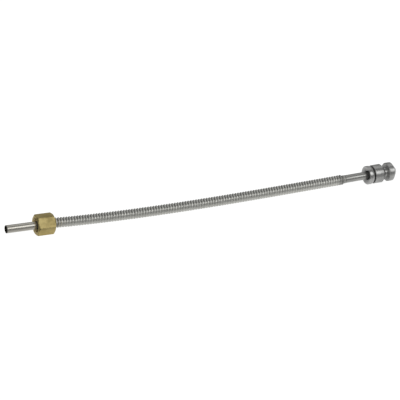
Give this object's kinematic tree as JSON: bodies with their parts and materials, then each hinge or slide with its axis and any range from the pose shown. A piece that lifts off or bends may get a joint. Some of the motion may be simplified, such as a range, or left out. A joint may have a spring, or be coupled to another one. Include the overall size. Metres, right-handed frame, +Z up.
{
  "type": "flexible corrugated metal hose",
  "caption": "Corrugated flexible metal hose with a plain tube end in a loose brass union nut and a turned steel plug-in connector at the other end.",
  "frame": {"origin": "middle of the bounding box in plan, measured without the hose, on the surface that the object lies on", "axes": "+Z up; +X along the inlet tube from its open end towards the hose; the hose bends gently towards +Y, and the plug points 5 degrees from +X towards +Y"},
  "size_m": [0.4314, 0.037, 0.019],
  "materials": {
    "polished_steel": "polished, with fine lines along the tube",
    "brushed_steel": "dull drawn steel",
    "turned_steel": "turned, with fine lathe rings",
    "brass": "bare drawn brass, slightly tarnished",
    "seal_rubber": "matt black"
  },
  "bodies": {
    "hose_and_plug": {"inlet_tube": "polished_steel", "corrugated_hose": "polished_steel", "outlet_tube": "brushed_steel", "gland_nut": "brushed_steel", "gland_seal": "seal_rubber", "plug_body": "turned_steel"},
    "ring": {"compression_ring": "brass"},
    "nut": {"union_nut": "brass"}
  },
  "joints": [
    {"name": "ring_slide", "type": "slide", "parent": "hose_and_plug", "child": "ring", "axis": [-1, 0, 0], "range_m": [0, 0.03]},
    {"name": "nut_spin", "type": "hinge", "parent": "ring", "child": "nut", "pos_m": [-0.17575, -0.00749, 0.0095], "axis": [1, 0, 0], "continuous": true}
  ]
}
